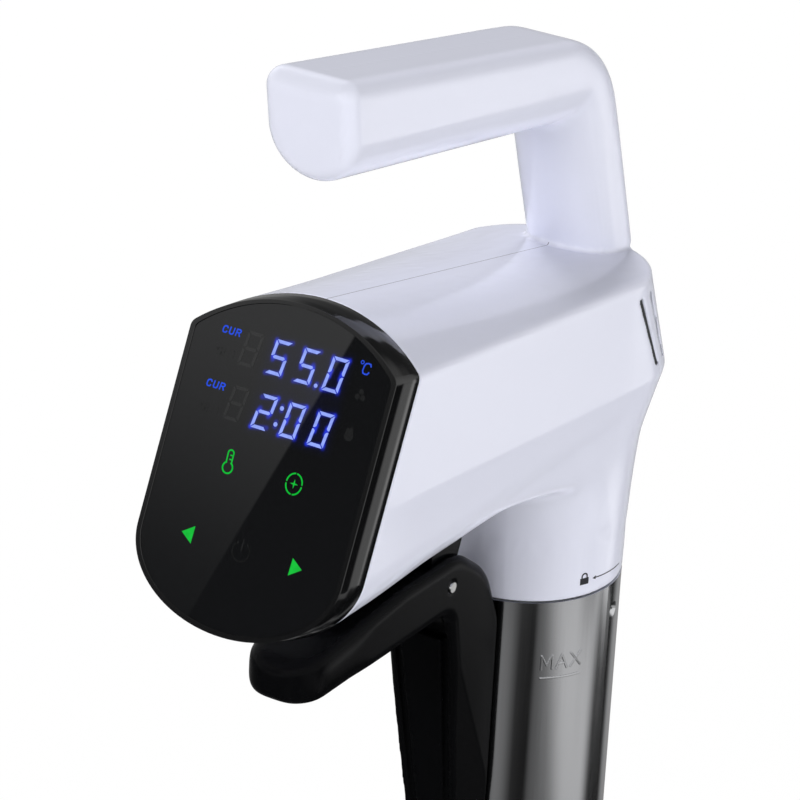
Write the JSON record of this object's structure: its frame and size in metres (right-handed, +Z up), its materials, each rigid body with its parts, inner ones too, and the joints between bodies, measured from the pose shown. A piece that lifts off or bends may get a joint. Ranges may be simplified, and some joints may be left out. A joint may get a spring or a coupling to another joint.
{
  "type": "sous vide immersion circulator",
  "caption": "Handheld immersion circulator with an angled touch display, hook handle, twist-off steel tube and a sprung pot clip.",
  "frame": {"origin": "on the tube's axis at the top rim of the steel sleeve, where it meets the neck", "axes": "+Z up along the tube, -Y towards the display, +X to the right of someone facing away from the display"},
  "size_m": [0.0654, 0.2016, 0.3678],
  "materials": {
    "white_housing": "smooth glossy bluish-white moulding",
    "black_bezel": "polished black moulding",
    "display_glass": "flat glossy touch panel, printed from behind",
    "circuit_board": "solder-masked glass fibre",
    "display_module": "black potted display block",
    "spring_steel": "bare wire",
    "zinc_screw": "zinc plated",
    "transformer": "varnished core and yellow tape",
    "relay_case": "moulded case",
    "capacitor_can": "sleeved can",
    "aluminium_fin": "extruded, bare",
    "terminal_green": "moulded block",
    "black_rubber": "matt rubber",
    "motor_can": "pressed can",
    "black_plastic": "fine satin moulding",
    "grey_plastic": "moulding",
    "shaft_steel": "ground bar",
    "brass_coupling": "turned",
    "fan_plastic": "moulding",
    "tube_steel": "stainless, brushed along the axis",
    "heater_steel": "annealed stainless sheath",
    "seal_silicone": "silicone",
    "bushing_plastic": "bearing-grade moulding"
  },
  "bodies": {
    "housing": {"housing_left": "white_housing", "housing_right": "white_housing", "housing_screws": "zinc_screw", "bezel": "black_bezel", "display_panel": "display_glass", "display_board": "circuit_board", "display_module": "display_module", "touch_springs": "spring_steel", "display_screws": "zinc_screw", "control_board": "circuit_board", "board_screws": "zinc_screw", "transformer": "transformer", "relay": "relay_case", "capacitors": "capacitor_can", "heat_sink": "aluminium_fin", "terminal_block": "terminal_green", "cord_gland": "black_rubber", "motor": "motor_can", "motor_plate": "aluminium_fin", "motor_screws": "zinc_screw", "bayonet_collar": "grey_plastic", "base_flange": "heater_steel", "shaft_seal": "black_rubber", "shaft_mast": "shaft_steel", "mast_bushing": "bushing_plastic", "heater_elements": "heater_steel", "temperature_probe": "shaft_steel", "level_probes": "shaft_steel", "flange_screws": "zinc_screw", "sleeve_seal": "seal_silicone", "clamp_bracket": "black_plastic", "pivot_pin": "shaft_steel", "torsion_spring": "spring_steel", "bracket_screws": "zinc_screw"},
    "sleeve_body": {"sleeve": "tube_steel", "bottom_cap": "black_plastic"},
    "rotor": {"motor_shaft": "shaft_steel", "impeller_shaft": "shaft_steel", "shaft_coupling": "brass_coupling", "fan_wheel": "fan_plastic", "impeller": "black_plastic"},
    "clamp": {"clamp_lever": "black_plastic", "jaw_pad": "black_rubber"}
  },
  "joints": [
    {"name": "clamp_hinge", "type": "hinge", "parent": "housing", "child": "clamp", "pos_m": [0, -0.0592, 0.0176], "axis": [-1, 0, 0], "range_deg": [0, 9], "stiffness_Nm_per_rad": 1.2, "springref_deg": -20.05},
    {"name": "sleeve_twist", "type": "hinge", "parent": "housing", "child": "sleeve_body", "pos_m": [0, 0, 0], "axis": [0, 0, 1], "range_deg": [0, 22]},
    {"name": "rotor_spin", "type": "hinge", "parent": "housing", "child": "rotor", "pos_m": [0, 0, 0], "axis": [0, 0, 1], "continuous": true}
  ]
}
